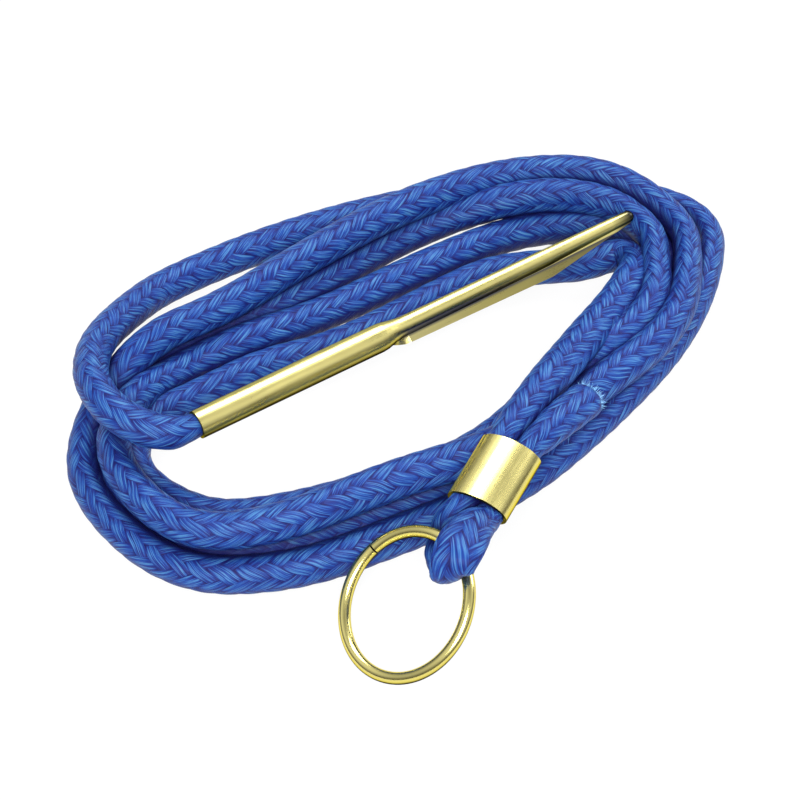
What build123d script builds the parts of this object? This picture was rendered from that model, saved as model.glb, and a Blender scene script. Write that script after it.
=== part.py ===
import os
from math import asin, cos, degrees, dist, radians, sin, sqrt

from build123d import *

os.makedirs("parts", exist_ok=True)

# cord, in mm
cord_diameter = 5.2  # as it lies in the hank
squeezed_diameter = 4.4  # inside the ferrule and round the ring
stub_length = 9.0
rest_cut = 0.5  # flat on the turns that lie on the table
measure_step = 1.0  # between the points that the gap is measured on

# hank: the outermost turn's place on each side, its heading in degrees,
# and what the turns there are spread by beyond their own diameter
left_side = (-60.4, -4.0, 90.0, 1.7)
back_side = (8.0, 33.0, -5.0, 2.2)
right_end = (59.0, 6.5, -80.0, 1.3)
right_side = (46.0, -14.0, -143.0, 1.3)
front_side = (-11.0, -33.9, 182.0, 1.8)
layer_gap = 1.0  # between a turn and the one on top of it
# turns in from the outside, and layers up, for each pass in winding order
left_passes = [(0.0, 0.0), (1.05, 0.0), (1.5, 1.2), (2.2, 0.0)]
back_passes = [(0.0, 0.0), (1.0, 0.0), (2.0, 0.25), (3.15, 0.0), (4.3, 0.0)]
right_end_passes = [(0.0, 0.0), (1.0, 0.0), (1.5, 1.05), (2.12, 0.0)]
right_passes = [(0.0, 0.0), (1.0, 0.0), (1.0, 1.0), (2.05, 0.0)]
front_passes = [(0.0, 0.0), (1.0, 0.0), (1.0, 1.0), (2.0, 0.0)]
lead_turn = (-54.2, 4.0, 17.6)  # first bend after the needle
inner_fold = (35.0, -0.2, 7.1)  # last bend before the ferrule
inner_fold_heading = -131.0
straight_end = 5.2  # at both ends of the hank

# needle: rolled sheet, a tube behind and an open channel in front
needle_tail = (-42.1, -8.0, 15.2)
needle_heading = 7.85
needle_dip = 1.72  # degrees, tip lower than the tail
needle_length = 86.4
sheet = 0.5
tube_radius = 2.4
tube_length = 34.5
neck_length = 5.0
neck_steps = 5
seam_gap = 0.25
seam_turn = 3.0  # degrees that the sheet's edges turn in at the seam
ridge_radius = 1.6
ridge_top = 1.9  # above the tube's axis
ridge_wall = 0.8  # upright sides below the ridge
shoulder_flare = (50.0, 1.3)  # blade there: degrees from upright, and width
blade_at = 68.0  # along the needle, where the blade is widest
blade_radius = 1.4  # of the ridge there
blade_flare = (58.0, 1.9)
tip_radius = 1.05
tip_wall = 0.2
tip_flare = (20.0, 0.15)
cone_length = 2.0  # cord swelling out of the tail's mouth
mouth_lip = 0.15  # metal left showing round the cord at the mouth

# ferrule: crimped oval sleeve, its inside shaped to the two legs of cord
ferrule_centre = (-3.75, -38.1, 15.7)
ferrule_heading = 36.6
ferrule_rise = 4.8
ferrule_length = 12.0
ferrule_wall = 0.6
ferrule_dome = 0.4  # its broad sides bulge this far past the cord
ferrule_ease = 0.15  # and its narrow sides this far
crimp = 0.05  # how far the needle's tube is pressed into the cord
leg_gap = 0.1  # between the two legs inside the sleeve
leg_run = 8.0  # from the upper mouth to where the cord has its full size
leg_spread = 2.95  # of each leg from the middle there
tail_length = 11.0
tail_rounding = 0.8  # of the cut end

# ring: bent wire with a butt seam
wire_diameter = 2.0
ring_outer_diameter = 25.4
ring_centre = (-24.3, -49.1)
ring_tilt = 38.0
ring_seam = 0.3
ring_seam_at = 90.0  # degrees round from the bight
loop_seat = 0.15  # clear space between the wire and the leg it lies on
loop_slack = 1.0  # and the leg over it
loop_end_slack = 1.4  # and the bend beyond it
loop_turn = -20.0  # degrees from the line to the ferrule
mouth_run = 0.6  # straight out of the ferrule's lower mouth

cord_radius = cord_diameter / 2
squeezed_radius = squeezed_diameter / 2
floor_height = cord_radius - rest_cut
layer_rise = cord_diameter + layer_gap
wire_radius = wire_diameter / 2
ring_radius = ring_outer_diameter / 2 - wire_radius
up = Vector(0, 0, 1)


def heading(plan_degrees, rise_degrees=0.0):
    level = cos(radians(rise_degrees))
    return Vector(
        level * cos(radians(plan_degrees)),
        level * sin(radians(plan_degrees)),
        sin(radians(rise_degrees)),
    )


def side_station(side, turns_in, layers_up):
    x, y, plan_degrees, spread = side
    forward = heading(plan_degrees)
    inward = forward.cross(up)
    place = Vector(x, y, floor_height + layers_up * layer_rise)
    return place + inward * (turns_in * (cord_diameter + spread)), forward


def biarc_middle(start, start_heading, end, end_heading):
    chord = end - start
    both = start_heading + end_heading
    slack = 2 * (1 - start_heading.dot(end_heading))
    along = chord.dot(both)
    if slack < 1e-9:
        reach = chord.dot(chord) / (2 * along)
    else:
        reach = (sqrt(along**2 + slack * chord.dot(chord)) - along) / slack
    middle = (start + end + (start_heading - end_heading) * reach) * 0.5
    middle_heading = (end - end_heading * reach) - (start + start_heading * reach)
    return middle, middle_heading.normalized()


def arc_or_line(start, start_heading, end):
    if (end - start).normalized().dot(start_heading) > 1 - 1e-9:
        Line(start, end)
    else:
        TangentArc(start, end, tangent=start_heading)


def biarc_route(stations):
    for (start, start_heading), (end, end_heading) in zip(stations, stations[1:]):
        middle, middle_heading = biarc_middle(start, start_heading, end, end_heading)
        arc_or_line(start, start_heading, middle)
        arc_or_line(middle, middle_heading, end)


def least_gap(route, diameter):
    count = int(route.length / measure_step)
    points = [tuple(route @ (i / count)) for i in range(count + 1)]
    apart = int(4 * diameter / measure_step)
    return min(
        dist(points[i], points[j])
        for i in range(len(points))
        for j in range(i + apart, len(points))
    ) - diameter


# frames that the metal pieces and the cord's ends share
needle_forward = heading(needle_heading, -needle_dip)
needle_across = needle_forward.cross(up).normalized()
tail_mouth = Vector(*needle_tail)
ferrule_forward = heading(ferrule_heading, ferrule_rise)
ferrule_across = ferrule_forward.cross(up).normalized()
upper_mouth = Vector(*ferrule_centre) + ferrule_forward * (ferrule_length / 2)
lower_mouth = Vector(*ferrule_centre) - ferrule_forward * (ferrule_length / 2)
leg_offset = squeezed_radius + leg_gap / 2
ring_rise = heading(0.0, ring_tilt)
ring_middle = Vector(*ring_centre, wire_radius + ring_radius * sin(radians(ring_tilt)))
wire_in_bight = ring_middle + ring_rise * ring_radius
wire_heading = Vector(0, 1, 0)


def sheet_section(along, radius, splay, wall, flare, blade, top):
    plane = Plane(tail_mouth + needle_forward * along, x_dir=needle_across, z_dir=needle_forward)
    # local y of this plane points down, so heights are negated
    centre = top - radius
    c, s = cos(radians(splay)), sin(radians(splay))
    blade_c, blade_s = cos(radians(flare)), sin(radians(flare))
    wall_face, blade_face = Vector(c, -s), Vector(blade_c, -blade_s)
    side = wall_face * radius - Vector(0, centre)
    bend = side + Vector(s, c) * wall
    edge = bend + Vector(blade_s, blade_c) * blade
    mitre = (wall_face + blade_face) * (sheet / (1 + wall_face.dot(blade_face)))
    outer = (side, bend, edge)
    inner = (side - wall_face * sheet, bend - mitre, edge - blade_face * sheet)
    with BuildSketch(plane) as section:
        with BuildLine():
            for sign in (1, -1):
                for r, corners in ((radius, outer), (radius - sheet, inner)):
                    points = [(sign * corner.X, corner.Y) for corner in corners]
                    half = radians((90 - splay) / 2)
                    middle = (sign * r * sin(half), -(centre + r * cos(half)))
                    ThreePointArc((0, -(centre + r)), middle, points[0])
                    Line(points[0], points[1])
                    Line(points[1], points[2])
                Line((sign * outer[2].X, outer[2].Y), (sign * inner[2].X, inner[2].Y))
        make_face()
    return section.sketch


# the closed tube's section ends at the seam: its splay and wall come from the gap there
tube_splay = -90 + degrees(asin(0.45 / tube_radius))
tube_wall = (tube_radius * cos(radians(tube_splay)) - seam_gap / 2) / -sin(radians(tube_splay))

tube_shape = (tube_radius, tube_splay, tube_wall / 2, tube_splay - seam_turn, tube_wall / 2, tube_radius)
shoulder_shape = (ridge_radius, 0.0, ridge_wall, *shoulder_flare, ridge_top)
blade_shape = (blade_radius, 0.0, ridge_wall, *blade_flare, ridge_top)
tip_shape = (tip_radius, 0.0, tip_wall, *tip_flare, ridge_top)
tip_start = needle_length - tip_radius


def neck_shape(share):
    eased = share * share * (3 - 2 * share)
    return [a + (b - a) * eased for a, b in zip(tube_shape, shoulder_shape)]


with BuildPart() as needle:
    sections = [sheet_section(0, *tube_shape)]
    for step in range(neck_steps + 1):
        share = step / neck_steps
        sections.append(sheet_section(tube_length + neck_length * share, *neck_shape(share)))
    sections.append(sheet_section(blade_at, *blade_shape))
    sections.append(sheet_section(tip_start, *tip_shape))
    loft(sections, ruled=True)
    nose = tail_mouth + needle_forward * tip_start
    nose += needle_across.cross(needle_forward) * (ridge_top - tip_radius)
    with Locations(nose):
        Sphere(tip_radius)

with BuildPart() as ferrule:
    sleeve = Plane(lower_mouth, x_dir=ferrule_across, z_dir=ferrule_forward)
    half_width = leg_offset + squeezed_radius + ferrule_ease
    half_height = squeezed_radius + ferrule_dome
    with BuildSketch(sleeve):
        Ellipse(half_width + ferrule_wall, half_height + ferrule_wall)
        Ellipse(half_width, half_height, mode=Mode.SUBTRACT)
    extrude(amount=ferrule_length)

with BuildPart() as ring:
    ring_plane = Plane(ring_middle, x_dir=ring_rise, z_dir=ring_rise.cross(wire_heading))
    half_seam = degrees(ring_seam / 2 / ring_radius)
    with BuildLine(ring_plane):
        CenterArc((0, 0), ring_radius, ring_seam_at + half_seam, 360 - 2 * half_seam)
    with BuildSketch(Plane(ring.pending_edges[0] @ 0, z_dir=ring.pending_edges[0] % 0)):
        Circle(wire_radius)
    sweep()

with BuildPart() as cord_needle_end:
    with BuildSketch(Plane(tail_mouth, z_dir=needle_forward)):
        Circle(tube_radius - sheet + crimp)
    extrude(amount=stub_length)
    with BuildSketch(Plane(tail_mouth, z_dir=-needle_forward)):
        Circle(tube_radius - mouth_lip)
    with BuildSketch(Plane(tail_mouth - needle_forward * cone_length, z_dir=-needle_forward)):
        Circle(cord_radius)
    loft(ruled=True)

hank_start = tail_mouth - needle_forward * cone_length
hank_end = upper_mouth + ferrule_forward * leg_run - ferrule_across * leg_spread
winding = [
    (hank_start, -needle_forward),
    (hank_start - needle_forward * (straight_end / 2), -needle_forward),
    (Vector(*lead_turn), heading(90.0)),
]
for turn, back_pass in enumerate(back_passes):
    winding.append(side_station(back_side, *back_pass))
    if turn < len(left_passes):
        winding.append(side_station(right_end, *right_end_passes[turn]))
        winding.append(side_station(right_side, *right_passes[turn]))
        winding.append(side_station(front_side, *front_passes[turn]))
        winding.append(side_station(left_side, *left_passes[turn]))
winding += [
    (Vector(*inner_fold), heading(inner_fold_heading)),
    (hank_end + ferrule_forward * (straight_end / 2), -ferrule_forward),
    (hank_end, -ferrule_forward),
]

with BuildPart() as cord_coil:
    with BuildLine() as hank_route:
        biarc_route(winding)
    with BuildSketch(Plane(hank_start, z_dir=-needle_forward)):
        Circle(cord_radius)
    sweep()
    split(bisect_by=Plane.XY, keep=Keep.TOP)

leg_side = {"left": -ferrule_across, "right": ferrule_across}
to_mouth = Vector(lower_mouth.X - wire_in_bight.X, lower_mouth.Y - wire_in_bight.Y).normalized()
over_wire = to_mouth.rotate(Axis.Z, loop_turn)
touching = wire_radius + squeezed_radius
bight = [
    (hank_end, -ferrule_forward),
    (upper_mouth + ferrule_forward + leg_side["left"] * leg_offset, -ferrule_forward),
    (lower_mouth - ferrule_forward * mouth_run + leg_side["left"] * leg_offset, -ferrule_forward),
    (wire_in_bight - up * (touching + loop_seat), -over_wire),
    (wire_in_bight - over_wire * (touching + loop_end_slack), up),
    (wire_in_bight + up * (touching + loop_slack), over_wire),
    (lower_mouth - ferrule_forward * mouth_run + leg_side["right"] * leg_offset, ferrule_forward),
    (upper_mouth + ferrule_forward + leg_side["right"] * leg_offset, ferrule_forward),
    (upper_mouth + ferrule_forward * leg_run + ferrule_across * leg_spread, ferrule_forward),
]

with BuildPart() as cord_ring_loop:
    with BuildLine() as bight_route:
        biarc_route(bight)
    with BuildSketch(Plane(hank_end, z_dir=-ferrule_forward)):
        Circle(squeezed_radius)
    sweep()

with BuildPart() as cord_tail:
    tail_start = upper_mouth + ferrule_forward * leg_run + ferrule_across * leg_spread
    with BuildSketch(Plane(tail_start, z_dir=ferrule_forward)):
        Circle(cord_radius)
    extrude(amount=tail_length)
    fillet(cord_tail.faces().sort_by(Axis(tail_start, ferrule_forward))[-1].edges(), tail_rounding)

hank_wire = hank_route.wires()[0]
bight_wire = bight_route.wires()[0]
print(f"coil: {hank_wire.length:.0f} mm, least gap {least_gap(hank_wire, cord_diameter):.2f} mm")
print(f"bight: {bight_wire.length:.0f} mm, tail {tail_length:.0f} mm")

pieces = {
    "needle": needle,
    "ferrule": ferrule,
    "ring": ring,
    "cord_needle_end": cord_needle_end,
    "cord_coil": cord_coil,
    "cord_ring_loop": cord_ring_loop,
    "cord_tail": cord_tail,
}
box = Compound([piece.part for piece in pieces.values()]).bounding_box()
to_origin = Location((-box.center().X, -box.center().Y, -box.min.Z))
print("shift", tuple(round(v, 3) for v in to_origin.position), "box", box.size)
print("wire in bight", tuple(round(v, 3) for v in wire_in_bight + to_origin.position))
for name, piece in pieces.items():
    piece.part = piece.part.moved(to_origin)
    piece.part.label = name
    export_step(piece.part, f"parts/{name}.step")
    print(name, round(piece.part.volume, 1), piece.part.is_valid, len(piece.part.solids()))
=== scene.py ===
import math

import bpy
import numpy as np
from mathutils import Matrix, Vector


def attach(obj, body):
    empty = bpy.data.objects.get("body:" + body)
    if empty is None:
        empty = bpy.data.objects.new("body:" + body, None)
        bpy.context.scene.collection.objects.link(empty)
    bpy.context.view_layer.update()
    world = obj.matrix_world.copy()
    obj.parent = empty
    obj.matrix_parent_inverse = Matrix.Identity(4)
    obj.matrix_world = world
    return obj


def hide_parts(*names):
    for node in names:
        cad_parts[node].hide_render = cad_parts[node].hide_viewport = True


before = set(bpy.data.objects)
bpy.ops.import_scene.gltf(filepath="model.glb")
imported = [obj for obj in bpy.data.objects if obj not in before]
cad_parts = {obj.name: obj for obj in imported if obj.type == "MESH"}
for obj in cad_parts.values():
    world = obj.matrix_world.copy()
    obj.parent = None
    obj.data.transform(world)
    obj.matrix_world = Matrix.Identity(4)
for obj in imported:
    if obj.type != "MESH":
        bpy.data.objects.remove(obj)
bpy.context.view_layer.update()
mm = 0.001
shift = Vector((0.596, 12.818, 0))  # from the hank's own middle to the frame, mm


# camera, as the photograph was taken
view = {
    "target": (-6.174, 3.498, 5.42),  # mm
    "elevation": 52.0,
    "turn": 25.0,  # degrees from +y towards +x
    "distance": 433.3,  # mm
    "focalPixels": 2599.8,
    "imagePixels": 800,
    "drop": 5,  # pixels that the target sits above the middle
    "clipStart": 0.01,  # metres
}


def placeCamera():
    rise = math.radians(view["elevation"])
    turn = math.radians(view["turn"])
    level = math.cos(rise)
    forward = Vector((math.sin(turn) * level, math.cos(turn) * level, -math.sin(rise)))
    right = Vector((math.cos(turn), -math.sin(turn), 0))
    up = right.cross(forward)
    data = bpy.data.cameras.new("camera")
    data.sensor_fit = "HORIZONTAL"
    data.angle = 2 * math.atan(view["imagePixels"] / 2 / view["focalPixels"])
    data.shift_y = -view["drop"] / view["imagePixels"]
    data.clip_start = view["clipStart"]
    camera = bpy.data.objects.new("camera", data)
    bpy.context.scene.collection.objects.link(camera)
    turned = Matrix((right, up, -forward)).transposed().to_4x4()
    place = (Vector(view["target"]) - forward * view["distance"]) * mm
    camera.matrix_world = Matrix.Translation(place) @ turned
    bpy.context.scene.camera = camera


placeCamera()
print("camera placed")


# small helpers for materials
def newMaterial(name):
    material = bpy.data.materials.new(name)
    material.use_nodes = True
    tree = material.node_tree
    shader = tree.nodes["Principled BSDF"]
    return material, tree, shader


def addNode(tree, kind, inputs=None, **settings):
    node = tree.nodes.new(kind)
    for name, value in settings.items():
        setattr(node, name, value)
    for key, value in (inputs or {}).items():
        if isinstance(value, bpy.types.NodeSocket):
            tree.links.new(value, node.inputs[key])
        else:
            node.inputs[key].default_value = value
    return node


def mathNode(tree, operation, first, second=0.0, third=0.0):
    node = addNode(tree, "ShaderNodeMath", {0: first, 1: second, 2: third}, operation=operation)
    return node.outputs[0]


def rampNode(tree, factor, stops):
    node = addNode(tree, "ShaderNodeValToRGB", {"Fac": factor})
    ramp = node.color_ramp
    ramp.elements.remove(ramp.elements[1])
    for number, (position, colour) in enumerate(stops):
        element = ramp.elements[0] if number == 0 else ramp.elements.new(position)
        element.position = position
        element.color = (*colour, 1)
    return node.outputs["Color"]


def rangeNode(tree, value, ends, kind="LINEAR"):
    low, high = ends
    return addNode(tree, "ShaderNodeMapRange", {
        "Value": value, "From Min": low, "From Max": high}, interpolation_type=kind).outputs[0]


def mixColour(tree, factor, first, second):
    node = addNode(tree, "ShaderNodeMix", {0: factor}, data_type="RGBA")
    for socket, value in ((6, first), (7, second)):
        if isinstance(value, bpy.types.NodeSocket):
            tree.links.new(value, node.inputs[socket])
        else:
            node.inputs[socket].default_value = (*value, 1)
    return node.outputs[2]


# cord: one unbroken braided line, needle to cut end
stringerCord = {
    "hank": {
        "gates": [  # place at the outside of the hank and heading there: x, y in mm, degrees
            (-60, -6, 90), (-57, 8, 65), (-47, 21.5, 40), (-30, 30, 15),
            (-10, 33, 0), (12, 32, -6), (32, 26.5, -20), (47, 18, -45),
            (58, 5, -85), (53.5, -7, -118), (40, -17.5, -143), (22, -25.5, -155),
            (3, -31.5, -168), (-17, -33.5, 180), (-36, -31.5, 168), (-52, -23.5, 135),
        ],
        "passes": [  # at each gate, each turn's inset from the outside and height
            [(0, 3.2), (4.8, 8.9), (4.6, 3.2), (8.2, 4.2)],
            [(1.8, 4.6), (7.7, 8.4), (6.6, 3.2), (10.4, 3.6)],
            [(7.6, 8.6), (12.4, 3.8), (6.8, 3.2), (19.6, 3.2)],
            [(-1.3, 3.4), (12.1, 8.8), (17.4, 4.4), (11.8, 3.2), (23.4, 3.2)],
            [(0.4, 3.2), (10.8, 8.9), (19.0, 3.2), (12.8, 3.2), (26.5, 3.2)],
            [(1.4, 3.2), (6.0, 8.6), (16.0, 3.2), (7.8, 3.2), (23.2, 3.2)],
            [(1.0, 3.2), (2.3, 8.9), (10.8, 3.2), (7.2, 8.2)],
            [(0, 3.3), (1.7, 8.8), (9.0, 3.2), (7.0, 8.3)],
            [(-0.1, 3.5), (5.7, 7.4), (9.8, 3.3), (11.8, 8.6)],
            [(0.5, 3.4), (4.0, 7.8), (7.8, 3.2), (9.6, 8.6)],
            [(0, 3.3), (0.3, 8.9), (6.0, 3.2), (5.0, 8.9)],
            [(-0.6, 3.2), (1.6, 8.8), (4.6, 3.2), (7.2, 8.0)],
            [(-0.8, 3.2), (3.8, 8.9), (3.8, 3.2), (7.6, 4.6)],
            [(0, 3.2), (6.3, 9.0), (5.4, 3.2), (9.6, 3.4)],
            [(-0.9, 3.2), (4.6, 8.9), (4.8, 3.2), (9.8, 3.8)],
            [(-1.0, 3.2), (3.2, 8.8), (4.8, 3.2), (9.2, 4.0)],
        ],
        "girth": [  # width and height of the cord at each gate
            (5.8, 6.8), (5.8, 6.8), (6.0, 6.4), (6.1, 6.2),
            (6.1, 6.2), (6.3, 6.2), (5.8, 6.6), (5.0, 7.2),
            (4.7, 7.4), (5.0, 7.2), (5.8, 6.6), (6.4, 6.3),
            (6.7, 6.2), (6.8, 6.2), (6.6, 6.2), (6.0, 6.6),
        ],
        "firstGate": 3,  # the lead from the needle joins the hank here
        "turns": 4,
        "lead": [  # from inside the needle over the left end: x, y, height, width, tall
            (-39.6, -7.6, 15.1, 3.6, 3.6),
            (-42.1, -8.0, 15.2, 3.8, 3.8),  # the needle's mouth
            (-46.2, -7.8, 15.4, 5.8, 5.6),
            (-50.0, -5.5, 15.8, 6.2, 6.0),
            (-53.0, -1.3, 16.2, 6.2, 6.2),
            (-54.2, 3.5, 16.0, 6.0, 6.3),
            (-53.5, 10.0, 14.4, 6.0, 6.3),
            (-49.2, 18.2, 11.0, 6.0, 6.2),
            (-41.0, 25.6, 7.0, 6.1, 6.2),
        ],
        "fold": [  # the inside turn's fold and the run back over the hank to the ferrule
            (19.5, 9.6, 3.3, 6.2, 6.2),
            (28.0, 7.4, 3.4, 6.2, 6.2),
            (34.5, 5.0, 3.6, 6.0, 6.3),
            (39.3, 3.9, 4.2, 5.4, 6.3),
            (41.9, 2.4, 5.2, 4.6, 6.0),
            (41.6, -1.5, 6.9, 5.2, 5.6),
            (38.0, -5.9, 8.7, 6.2, 6.0),
            (32.5, -10.2, 9.6, 6.6, 6.0),
            (25.0, -15.2, 11.2, 6.8, 6.0),
            (19.2, -19.2, 12.7, 6.8, 6.0),
            (13.2, -23.3, 14.4, 6.6, 5.8),
            (5.8, -28.4, 16.0, 5.8, 5.2),
        ],
        "bight": [  # through the ferrule, under the ring's wire, back over it and out again
            (0.5, -32.1, 16.3, 4.6, 4.4),
            (-5.4, -36.5, 15.7, 4.4, 4.4),
            (-10.4, -40.2, 15.2, 4.8, 4.4),
            (-13.0, -40.8, 13.4, 5.0, 4.2),
            (-14.3, -41.8, 10.9, 5.0, 3.8),
            (-16.2, -44.6, 11.2, 5.2, 3.8),
            (-17.1, -47.8, 12.2, 5.0, 3.4),
            (-18.2, -51.1, 15.5, 5.6, 3.2),
            (-17.8, -51.9, 19.2, 7.4, 3.4),
            (-15.0, -49.5, 19.8, 8.0, 3.6),
            (-11.1, -45.9, 17.6, 6.8, 4.0),
            (-7.7, -43.8, 15.2, 4.8, 4.4),
            (-2.6, -40.0, 15.6, 4.4, 4.4),
            (3.2, -35.8, 16.3, 4.6, 4.4),
            (6.6, -34.2, 16.3, 5.4, 5.0),
            (11.2, -32.0, 15.8, 6.4, 5.6),
            (17.8, -29.3, 14.8, 6.6, 5.4),
        ],
        "pulls": 6,  # rounds of drawing the spline on to its places
        "pointsPerSpan": 24,
        "slot": "cord",
        "diameter": 6.4,
        "pathEvery": 5,  # rings of the mesh for each point of the path
    },
    "braid": {
        "strandsEachWay": 8,
        "over": 2,  # strands that each one floats over
        "yarns": 3,  # side by side in a strand
        "lead": 30.0,  # length of one full turn of a strand, mm
        "relief": 0.10,  # depth of the dips between strands, mm
        "taper": 0.5,  # width of a strand where it dives, as a share of its middle
        "step": 0.42,  # between rings of the mesh, mm
        "around": 64,  # points in a ring of the mesh
        "steep": 0.35,  # level share of the run below which the last side is carried on
        "evening": 12,  # rounds of smoothing the sides
        "endRound": 1.4,  # length of the rounding at the cut end, mm
        "endNarrow": 0.22,  # share of its width that the cut end loses
        "endDome": 0.4,  # how far the middle of the cut end stands out, mm
        "lowest": 0.05,  # the cord flattens this far above the table, mm
        "wander": {  # waves that shift the strands: size, rate along, rate around, start
            "along": [(0.008, 1.7, 2, 0), (0.006, 4.3, -3, 0)],
            "around": [(0.007, 2.9, 1, 0.2), (0.006, 0.6, -2, 0)],
        },
    },
    # cord colours, with painted shade in the gaps, grooves and crowded turns
    "dyeAndShade": {
        "tones": [  # from painted shade in the gaps to the brightest filaments
            (0.20, (0.004, 0.005, 0.075)),
            (0.38, (0.008, 0.017, 0.152)),
            (0.52, (0.007, 0.049, 0.272)),
            (0.68, (0.056, 0.182, 0.395)),
        ],
        "occludedShade": (0.007, 0.008, 0.085),  # painted shade where turns lie close together
        "reach": 7,  # how far off a turn still counts as close, mm
        "open": (0.2, 0.68),  # share of open sky, from full painted shade to none
        "gap": (0.8, 1.4),  # half widths of a strand, from its side into the gap
        # painted shade in the gaps between strands
        "gapShade": -0.15,
        "streaks": (15.0, 0.4),  # filaments across a strand and along it
        "streakTone": (1.3, -0.15),
        # painted shade in the grooves between yarns and where a strand dives under
        "yarnShade": 0.13,
        "bulgeShade": (0.12, -0.17),
        "roughness": (0.5, 0.34),
        "specular": 0.18,
        "bump": (0.5, 0.22),  # strength, and depth in mm
    },
}
hank, braid, dyeAndShade = (stringerCord[part] for part in ("hank", "braid", "dyeAndShade"))


def gatePoint(gate, inset, height):
    x, y, degrees = hank["gates"][gate]
    angle = math.radians(degrees)
    across = (x + math.sin(angle) * inset, y - math.cos(angle) * inset)
    return (*across, height, *hank["girth"][gate])


def hankPlaces():
    places = list(hank["lead"])
    gateCount = len(hank["gates"])
    for turn in range(hank["turns"]):
        for step in range(gateCount):
            gate = (hank["firstGate"] + step) % gateCount
            places.append(gatePoint(gate, *hank["passes"][gate][turn]))
    for gate in range(gateCount):
        if len(hank["passes"][gate]) > hank["turns"]:  # the start of one more turn
            places.append(gatePoint(gate, *hank["passes"][gate][hank["turns"]]))
    return np.array(places + hank["fold"])


def controlPoints(places):
    points = places.copy()
    for _ in range(hank["pulls"]):  # drawn outwards until the spline runs through the places
        reached = (points[:-2] + 6 * points[1:-1] + points[2:]) / 8  # a quadratic spline there
        points[1:-1] += places[1:-1] - reached
    return points


def makeRoute(points):
    data = bpy.data.curves.new("cordRoute", "CURVE")
    data.dimensions = "3D"
    data.resolution_u = hank["pointsPerSpan"]
    spline = data.splines.new("NURBS")
    spline.points.add(len(points) - 1)
    for point, (x, y, z) in zip(spline.points, points[:, :3]):
        point.co = (*((Vector((x, y, z)) + shift) * mm), 1)
    spline.order_u = 3
    spline.use_endpoint_u = True
    route = bpy.data.objects.new("cordRoute", data)
    bpy.context.scene.collection.objects.link(route)
    bpy.context.view_layer.update()
    mesh = bpy.data.meshes.new_from_object(route)
    line = np.array([vertex.co for vertex in mesh.vertices])
    bpy.data.objects.remove(route)
    return line


def walk(line, girth):
    steps = np.linalg.norm(np.diff(line, axis=0), axis=1)
    travelled = np.concatenate(([0], np.cumsum(steps)))
    count = int(travelled[-1] / (braid["step"] * mm))
    at = np.linspace(0, travelled[-1], count)
    place = np.stack([np.interp(at, travelled, line[:, axis]) for axis in range(3)], 1)
    # each sample's place among the control points, for the cord's width there
    span = np.linspace(0, len(girth) - 2, len(line)) + 0.5
    near = np.interp(at, travelled, span)
    size = np.stack([np.interp(near, range(len(girth)), girth[:, k]) for k in (0, 1)], 1)
    return at, place, size


def sideways(place):
    along = np.gradient(place, axis=0)
    along /= np.linalg.norm(along, axis=1)[:, None]
    side = np.zeros_like(along)
    last = np.array((along[0][1], -along[0][0], 0))
    for number, ahead in enumerate(along):
        level = np.array((ahead[1], -ahead[0], 0))
        if np.linalg.norm(level) < braid["steep"]:
            level = last - ahead * last.dot(ahead)
        if level.dot(last) < 0:
            level = -level
        last = level / np.linalg.norm(level)
        side[number] = last
    for _ in range(braid["evening"]):
        side[1:-1] = (side[:-2] + side[1:-1] * 2 + side[2:]) / 4
    side -= along * np.sum(side * along, 1)[:, None]
    side /= np.linalg.norm(side, axis=1)[:, None]
    return along, side, np.cross(side, along)


def wander(turns, around, waves):
    return sum(
        size * np.sin(2 * np.pi * (rateAlong * turns + rateAround * around + start))
        for size, rateAlong, rateAround, start in waves)


def braidPlace(turns, around):
    # shifted a little, so that no two strands lie quite alike
    turns = turns + wander(turns, around, braid["wander"]["along"])
    around = around + wander(turns, around, braid["wander"]["around"])
    return turns, around


def braidHeight(turns, around):
    strands, over, taper = braid["strandsEachWay"], braid["over"], braid["taper"]
    rising = strands * (around + turns)
    falling = strands * (around - turns)
    cell = (np.floor(rising) + np.floor(falling)) % (2 * over)
    risingPart = rising % 1
    fallingPart = falling % 1
    onTop = cell < over
    across = np.where(onTop, risingPart, fallingPart)
    length = np.where(onTop, cell + fallingPart, cell - over + risingPart)
    bulge = np.sin(np.pi * (length / over))
    offset = (2 * across - 1) / (taper + (1 - taper) * bulge)  # floats narrow towards their ends
    return np.clip(1 - offset ** 2, 0, 1) * bulge ** 0.5


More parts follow.
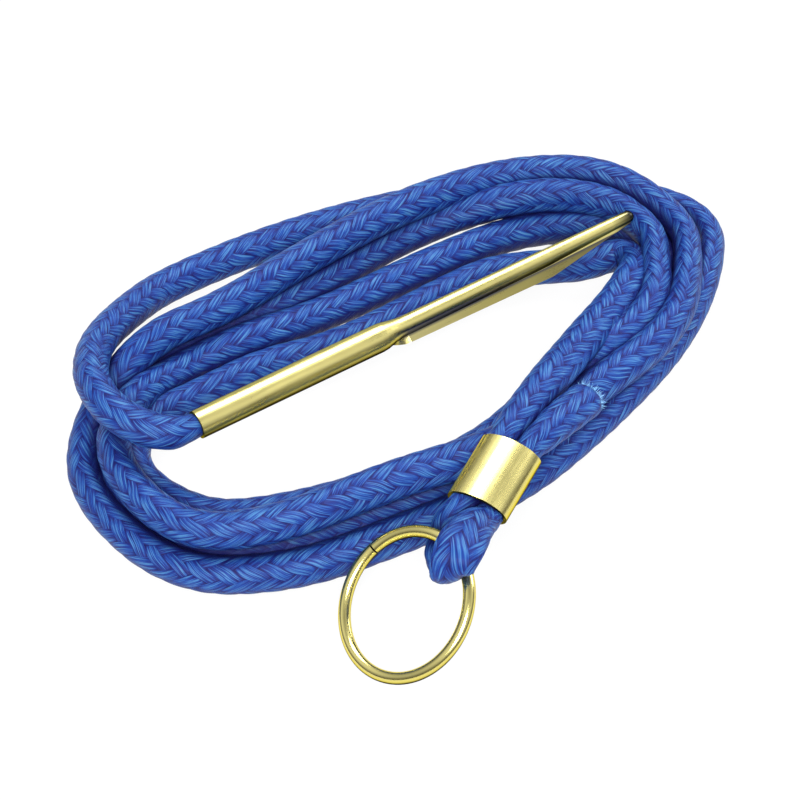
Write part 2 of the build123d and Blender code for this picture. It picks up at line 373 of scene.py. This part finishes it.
def makeCordMesh(at, place, size):
    along, side, rise = sideways(place)
    rings = len(at)
    count = braid["around"]
    toEnd = np.clip((at[-1] - at) / (braid["endRound"] * mm), 0, 1)
    size = size * (1 - braid["endNarrow"] * (1 - toEnd) ** 2)[:, None]  # the cut end is rounded
    around = np.arange(count) / count
    turns = at / (braid["lead"] * mm)
    height = braidHeight(*braidPlace(turns[:, None], around[None, :]))
    inward = braid["relief"] * (1 - height)
    angle = 2 * np.pi * around
    wide = (size[:, :1] / 2 - inward) * np.cos(angle)[None, :] * mm
    tall = (size[:, 1:] / 2 - inward) * np.sin(angle)[None, :] * mm
    points = place[:, None, :] + side[:, None, :] * wide[:, :, None]
    points = points + rise[:, None, :] * tall[:, :, None]
    points[:, :, 2] = np.maximum(points[:, :, 2], braid["lowest"] * mm)
    dome = place[-1:] + along[-1:] * (braid["endDome"] * mm)
    points = np.concatenate((points.reshape(-1, 3), dome))
    marks = np.stack(braidPlace(turns[:, None], np.arange(count + 1)[None, :] / count), 2)
    faces = []
    corners = []
    for ring in range(rings - 1):
        here, ahead = ring * count, (ring + 1) * count
        for step in range(count):
            after = (step + 1) % count
            faces.append((here + step, here + after, ahead + after, ahead + step))
            corners += (marks[ring, step], marks[ring, step + 1])
            corners += (marks[ring + 1, step + 1], marks[ring + 1, step])
    last = (rings - 1) * count
    for step in range(count):  # closes the cut end
        faces.append((last + step, last + (step + 1) % count, rings * count))
        corners += (marks[-1, step], marks[-1, step + 1], marks[-1, step])
    mesh = bpy.data.meshes.new("cord")
    mesh.from_pydata(points.tolist(), [], faces)
    layer = mesh.uv_layers.new(name="braid")
    layer.data.foreach_set("uv", np.array(corners, np.float32).ravel())
    mesh.shade_smooth()
    return mesh


def strandNodes(tree):
    # the same weave as in braidHeight: which strand is on top, and the place on it
    strands, over, taper = float(braid["strandsEachWay"]), float(braid["over"]), braid["taper"]
    uv = addNode(tree, "ShaderNodeUVMap", uv_map="braid")
    parts = addNode(tree, "ShaderNodeSeparateXYZ", {0: uv.outputs[0]})
    turns, around = parts.outputs[0], parts.outputs[1]
    rising = mathNode(tree, "MULTIPLY", mathNode(tree, "ADD", around, turns), strands)
    falling = mathNode(tree, "MULTIPLY", mathNode(tree, "SUBTRACT", around, turns), strands)
    wholeRising = mathNode(tree, "FLOOR", rising)
    wholeFalling = mathNode(tree, "FLOOR", falling)
    cellSum = mathNode(tree, "ADD", wholeRising, wholeFalling)
    cell = mathNode(tree, "FLOORED_MODULO", cellSum, 2 * over)
    onTop = mathNode(tree, "LESS_THAN", cell, over - 0.5)
    across = addNode(tree, "ShaderNodeMix", {0: onTop, 2: falling, 3: rising}).outputs[0]
    length = addNode(tree, "ShaderNodeMix", {0: onTop, 2: rising, 3: falling}).outputs[0]
    start = mathNode(tree, "MULTIPLY_ADD", onTop, over, -over)
    ahead = mathNode(tree, "ADD", mathNode(tree, "FRACT", length), start)
    part = mathNode(tree, "MULTIPLY", mathNode(tree, "ADD", cell, ahead), 1 / over)
    bulge = mathNode(tree, "SINE", mathNode(tree, "MULTIPLY", part, math.pi))
    width = mathNode(tree, "MULTIPLY_ADD", bulge, 1 - taper, taper)
    middle = mathNode(tree, "MULTIPLY_ADD", mathNode(tree, "FRACT", across), 2.0, -1.0)
    offset = mathNode(tree, "DIVIDE", mathNode(tree, "ABSOLUTE", middle), width)
    return onTop, across, length, bulge, offset


def cordMaterial():
    material, tree, shader = newMaterial("braidedCord")
    onTop, across, length, bulge, offset = strandNodes(tree)
    gap = rangeNode(tree, offset, dyeAndShade["gap"], "SMOOTHSTEP")
    # filaments: long thin streaks that follow the strand on top
    thin, long = dyeAndShade["streaks"]
    streakPlace = addNode(tree, "ShaderNodeCombineXYZ", {
        0: mathNode(tree, "MULTIPLY", across, thin),
        1: mathNode(tree, "MULTIPLY", length, long),
        2: onTop})
    streaks = addNode(tree, "ShaderNodeTexNoise", {
        "Vector": streakPlace.outputs[0], "Scale": 1.0, "Detail": 3.0, "Roughness": 0.65})
    streaks = mathNode(tree, "MULTIPLY_ADD", streaks.outputs["Fac"], *dyeAndShade["streakTone"])
    # painted shade: darker in the grooves between yarns and towards the ends of each float, where
    # it dives under
    ridges = mathNode(tree, "SINE", mathNode(tree, "MULTIPLY", across, braid["yarns"] * math.pi))
    yarn = mathNode(tree, "ABSOLUTE", ridges)
    shade = mathNode(tree, "MULTIPLY_ADD", bulge, *dyeAndShade["bulgeShade"])
    shade = mathNode(tree, "MULTIPLY_ADD", yarn, dyeAndShade["yarnShade"], shade)
    # painted shade darkens the gaps between strands
    tone = mathNode(tree, "MULTIPLY_ADD", gap, dyeAndShade["gapShade"], streaks)
    tone = mathNode(tree, "ADD", tone, shade)
    colour = rampNode(tree, tone, dyeAndShade["tones"])
    # painted shade: the colour darkens where turns lie close together
    occlusion = addNode(tree, "ShaderNodeAmbientOcclusion", {"Distance": dyeAndShade["reach"] * mm}, samples=8)
    lit = rangeNode(tree, occlusion.outputs["AO"], dyeAndShade["open"])
    colour = mixColour(tree, lit, dyeAndShade["occludedShade"], colour)
    tree.links.new(colour, shader.inputs["Base Color"])
    dull, smooth = dyeAndShade["roughness"]
    rough = addNode(tree, "ShaderNodeMapRange", {
        "Value": streaks, "To Min": dull, "To Max": smooth})
    tree.links.new(rough.outputs[0], shader.inputs["Roughness"])
    strength, depth = dyeAndShade["bump"]
    bump = addNode(tree, "ShaderNodeBump", {
        "Height": tone, "Strength": strength, "Distance": depth * mm})
    tree.links.new(bump.outputs[0], shader.inputs["Normal"])
    shader.inputs["Specular IOR Level"].default_value = dyeAndShade["specular"]
    return material


places = np.concatenate((hankPlaces(), np.array(hank["bight"])))
control = controlPoints(places)
cordLine = makeRoute(control)
cordAt, cordPlace, cordSize = walk(cordLine, places[:, 3:5])
cordMesh = makeCordMesh(cordAt, cordPlace, cordSize)
cordMesh.materials.append(cordMaterial())
cord = bpy.data.objects.new("cord", cordMesh)
bpy.context.scene.collection.objects.link(cord)
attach(cord, "stringer")
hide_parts("cord_coil", "cord_needle_end", "cord_ring_loop", "cord_tail")
print(f"cord: {cordAt[-1]:.3f} m, {len(cordMesh.polygons)} faces")


# filaments that stand out of the cut end
fray = {
    "count": 110,
    "length": (0.6, 1.5),  # mm
    "thick": 0.06,  # mm
    "spread": 0.39,  # of the cord's width, from its middle to the outermost roots
    "roots": (0.8, 1.0),  # of the spread, from the innermost to the outermost
    "ahead": (0.5, 1.0),  # lean along the cord, in the same order
    "outward": (0.9, 0.3),  # and lean away from its middle
    "scatter": 0.35,  # how far they lean out of line
    "scatterSteps": (5, 7),  # radians from each to the next, sideways and up
    "slant": 0.3,  # keeps a filament's own width off the cord's axis
    "colour": (0.20, 0.46, 0.76),
    "roughness": 0.45,
    "goldenAngle": 2.39996,  # radians from each to the next, so that they spread evenly
    "goldenShare": 0.618034,
    "lengthShare": 0.7548,
}


def between(ends, share):
    low, high = ends
    return low + (high - low) * share


def makeFray():
    along, side, rise = (axis[-1] for axis in sideways(cordPlace))
    wide, tall = cordSize[-1] * fray["spread"]
    thick = fray["thick"] * mm
    sideStep, riseStep = fray["scatterSteps"]
    points = []
    faces = []
    for number in range(fray["count"]):
        angle = number * fray["goldenAngle"]
        share = (number * fray["goldenShare"]) % 1
        long = between(fray["length"], (number * fray["lengthShare"]) % 1)
        out = side * math.cos(angle) * wide + rise * math.sin(angle) * tall
        root = cordPlace[-1] + out * between(fray["roots"], share) * mm
        lean = along * between(fray["ahead"], share)
        lean = lean + out / np.linalg.norm(out) * between(fray["outward"], share)
        lean = lean + side * fray["scatter"] * math.sin(sideStep * number)
        lean = lean + rise * fray["scatter"] * math.cos(riseStep * number)
        tip = root + lean / np.linalg.norm(lean) * long * mm
        across = np.cross(lean, along + side * fray["slant"])
        across *= thick / np.linalg.norm(across)
        over = np.cross(lean, across)
        over *= thick / np.linalg.norm(over)
        a, b, c, d = range(len(points), len(points) + 4)
        points += [root + across, root - across * 0.5 + over, root - across * 0.5 - over, tip]
        faces += [(a, b, d), (b, c, d), (c, a, d)]
    mesh = bpy.data.meshes.new("tailFray")
    mesh.from_pydata([tuple(point) for point in points], [], faces)
    material, _, shader = newMaterial("frayedFilament")
    shader.inputs["Base Color"].default_value = (*fray["colour"], 1)
    shader.inputs["Roughness"].default_value = fray["roughness"]
    mesh.materials.append(material)
    piece = bpy.data.objects.new("tailFray", mesh)
    bpy.context.scene.collection.objects.link(piece)
    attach(piece, "stringer")


makeFray()
print("fray set")


# brass: painted light and shade, pale where it faces up and olive where it faces down; drawn and
# slightly scratched
brass = {
    "heading": {"needle": 7.85, "ferrule": 36.6, "ring": 0.0},  # of the drawn lines on each
    "drawn": {"needle": 0.6, "ferrule": 0.6, "ring": 0.0},  # and how clear they are
    "drawnScale": (60, 2200, 2200),  # lines per metre, along and across
    "blotch": (0.4, 0.3),  # share of the wear, and its middle
    "blotchScale": 160.0,
    "wearTone": 0.26,  # how far wear shifts the tone
    "tones": [  # painted light and shade, by how far the metal faces up
        (0.30, (0.035, 0.032, 0.022)),
        (0.46, (0.17, 0.145, 0.05)),
        (0.60, (0.82, 0.69, 0.14)),
        (0.85, (0.89, 0.79, 0.30)),
    ],
    "wear": (0.3, 0.7),  # from the smoothest metal to the roughest
    "roughness": {"needle": (0.24, 0.38), "ferrule": (0.20, 0.34), "ring": (0.12, 0.24)},
    "bump": (0.05, 0.1),  # strength, and depth in mm
    "blade": {  # mm along the needle and off its ridge
        "from": (-4, -1), "ridge": 10.44, "sides": (1.35, 1.7), "span": (0, 44),
        "cover": 0.9,  # how much of the plain brass its tones hide
        "tones": [  # painted shade, from the shoulder to the tip
            (0.0, (0.64, 0.57, 0.25)),
            (0.35, (0.46, 0.40, 0.13)),
            (0.75, (0.24, 0.21, 0.08)),
            (1.0, (0.06, 0.06, 0.06)),
        ],
    },
    "crease": {  # painted dark reflection along the ridge, mm off the ridge's middle
        "near": (1.4, 1.5), "far": (1.55, 1.9), "tone": (0.10, 0.10, 0.12),
    },
    "tip": {"span": (39.5, 43.2), "tone": (0.05, 0.05, 0.04)},  # painted shade at the tip, darkens along x, mm
}


def spanNode(tree, value, ends):
    return rangeNode(tree, value, [end * mm for end in ends])


def bladeShade(tree, turned, colour):
    # painted shade: the blade darker than the ridge and towards the tip, with a painted dark
    # reflection in the crease between them
    blade, crease = brass["blade"], brass["crease"]
    parts = addNode(tree, "ShaderNodeSeparateXYZ", {0: turned})
    length, width = parts.outputs[0], parts.outputs[1]
    off = mathNode(tree, "ABSOLUTE", mathNode(tree, "SUBTRACT", width, blade["ridge"] * mm))
    ahead = spanNode(tree, length, blade["from"])
    sides = mathNode(tree, "MULTIPLY", spanNode(tree, off, blade["sides"]), ahead)
    dull = rampNode(tree, spanNode(tree, length, blade["span"]), blade["tones"])
    colour = mixColour(tree, mathNode(tree, "MULTIPLY", sides, blade["cover"]), colour, dull)
    near = mathNode(tree, "MULTIPLY", spanNode(tree, off, crease["near"]), ahead)
    far = mathNode(tree, "SUBTRACT", 1.0, spanNode(tree, off, crease["far"]))
    return mixColour(tree, mathNode(tree, "MULTIPLY", near, far), colour, crease["tone"])


def brassMaterial(name, heading):
    material, tree, shader = newMaterial(name + "Brass")
    place = addNode(tree, "ShaderNodeTexCoord").outputs["Object"]
    turned = addNode(tree, "ShaderNodeMapping", {
        "Vector": place, "Rotation": (0, 0, -math.radians(heading))}).outputs[0]
    stretched = addNode(tree, "ShaderNodeMapping", {
        "Vector": turned, "Scale": brass["drawnScale"]}).outputs[0]
    drawn = addNode(tree, "ShaderNodeTexNoise", {
        "Vector": stretched, "Scale": 1.0, "Detail": 2.0, "Roughness": 0.6}).outputs["Fac"]
    blotch = addNode(tree, "ShaderNodeTexNoise", {
        "Vector": place, "Scale": brass["blotchScale"], "Detail": 3.0, "Roughness": 0.6})
    clear = brass["drawn"][name]
    share, middle = brass["blotch"]
    wear = mathNode(tree, "MULTIPLY_ADD", blotch.outputs["Fac"], share, middle - clear / 2)
    wear = mathNode(tree, "MULTIPLY_ADD", drawn, clear, wear)
    # painted light and shade: lighter where the surface faces up, darker where it faces down
    outward = addNode(tree, "ShaderNodeNewGeometry").outputs["Normal"]
    facing = addNode(tree, "ShaderNodeSeparateXYZ", {0: outward}).outputs[2]
    shade = mathNode(tree, "MULTIPLY_ADD", facing, 0.5, 0.5)  # 0 facing down, 1 facing up
    worn = mathNode(tree, "MULTIPLY_ADD", wear, brass["wearTone"], -brass["wearTone"] / 2)
    colour = rampNode(tree, mathNode(tree, "ADD", shade, worn), brass["tones"])
    if name == "needle":
        colour = bladeShade(tree, turned, colour)
        # painted shade darkens the needle towards its tip
        ahead = addNode(tree, "ShaderNodeSeparateXYZ", {0: place}).outputs[0]
        tip = spanNode(tree, ahead, brass["tip"]["span"])
        colour = mixColour(tree, tip, colour, brass["tip"]["tone"])
    tree.links.new(colour, shader.inputs["Base Color"])
    tree.links.new(colour, shader.inputs["Specular Tint"])  # the painted shade also tints the reflection, which keeps the edges dark
    shader.inputs["Metallic"].default_value = 1
    smooth, dull = brass["roughness"][name]
    rough = addNode(tree, "ShaderNodeMapRange", {
        "Value": wear, "From Min": brass["wear"][0], "From Max": brass["wear"][1],
        "To Min": smooth, "To Max": dull})
    tree.links.new(rough.outputs[0], shader.inputs["Roughness"])
    strength, depth = brass["bump"]
    bump = addNode(tree, "ShaderNodeBump", {
        "Height": wear, "Strength": strength, "Distance": depth * mm})
    tree.links.new(bump.outputs[0], shader.inputs["Normal"])
    return material


for name, heading in brass["heading"].items():
    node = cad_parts[name]
    node.data.materials.clear()
    node.data.materials.append(brassMaterial(name, heading))
print("brass set")


# floor, light and world
stage = {
    "floorSize": 3.0,  # metres
    "floorWhite": 0.9,
    "glow": 0.93,  # share of plain white that the camera sees in the floor
    "sky": [  # grey by height, from the horizon up
        (0.0, (0.06, 0.06, 0.065)),
        (0.3, (0.25, 0.25, 0.26)),
        (0.62, (0.85, 0.85, 0.85)),
        (0.85, (0.6, 0.6, 0.6)),
        (1.0, (0.3, 0.3, 0.3)),
    ],
    "front": 0.85,  # share of the sky's brightness on the camera's side
    "fade": (-0.5, 0.4),  # from the front to full brightness, along y
    "lamps": {  # place, target and size in metres, watts
        "key": ((-0.28, -0.48, 0.70), (0, 0, 0), 0.4, 9.5),
        "fill": ((0.80, 0.10, 0.40), (0, 0, 0), 0.5, 3.5),
        "back": ((0.28, 0.58, 0.80), (0, 0, 0), 0.5, 7.0),
    },
}


def makeFloor():
    half = stage["floorSize"] / 2
    corners = [(-half, -half, 0), (half, -half, 0), (half, half, 0), (-half, half, 0)]
    mesh = bpy.data.meshes.new("floor")
    mesh.from_pydata(corners, [], [(0, 1, 2, 3)])
    material = bpy.data.materials.new("floor")
    material.use_nodes = True
    tree = material.node_tree
    tree.nodes.clear()
    path = addNode(tree, "ShaderNodeLightPath").outputs
    seen = mathNode(tree, "MAXIMUM", path["Is Camera Ray"], path["Is Glossy Ray"])
    seen = mathNode(tree, "MAXIMUM", seen, path["Is Transmission Ray"])
    share = mathNode(tree, "MULTIPLY", seen, stage["glow"])
    white = stage["floorWhite"]
    plain = addNode(tree, "ShaderNodeBsdfDiffuse", {"Color": (white, white, white, 1)})
    shine = addNode(tree, "ShaderNodeEmission", {"Color": (1, 1, 1, 1), "Strength": 1.0})
    mix = addNode(tree, "ShaderNodeMixShader", {
        0: share, 1: plain.outputs[0], 2: shine.outputs[0]})
    output = addNode(tree, "ShaderNodeOutputMaterial")
    tree.links.new(mix.outputs[0], output.inputs[0])
    mesh.materials.append(material)
    floor = bpy.data.objects.new("floor", mesh)
    bpy.context.scene.collection.objects.link(floor)


def makeWorld():
    world = bpy.data.worlds.new("studio")
    world.use_nodes = True
    tree = world.node_tree
    background = tree.nodes["Background"]
    direction = addNode(tree, "ShaderNodeTexCoord").outputs["Generated"]
    parts = addNode(tree, "ShaderNodeSeparateXYZ", {0: direction})
    toBack, height = parts.outputs[1], parts.outputs[2]
    low, high = stage["fade"]
    strength = addNode(tree, "ShaderNodeMapRange", {
        "Value": toBack, "From Min": low, "From Max": high, "To Min": stage["front"]},
        interpolation_type="SMOOTHSTEP")
    tree.links.new(rampNode(tree, height, stage["sky"]), background.inputs["Color"])
    tree.links.new(strength.outputs[0], background.inputs["Strength"])
    bpy.context.scene.world = world


def makeLamps():
    for name, (place, target, size, watts) in stage["lamps"].items():
        data = bpy.data.lights.new(name, "AREA")
        data.shape = "SQUARE"
        data.size = size
        data.energy = watts
        lamp = bpy.data.objects.new(name, data)
        lamp.location = place
        toTarget = Vector(target) - Vector(place)
        lamp.rotation_euler = toTarget.to_track_quat("-Z", "Y").to_euler()
        bpy.context.scene.collection.objects.link(lamp)


makeFloor()
makeWorld()
makeLamps()
bpy.context.scene.view_settings.view_transform = "Standard"
print("stage set")
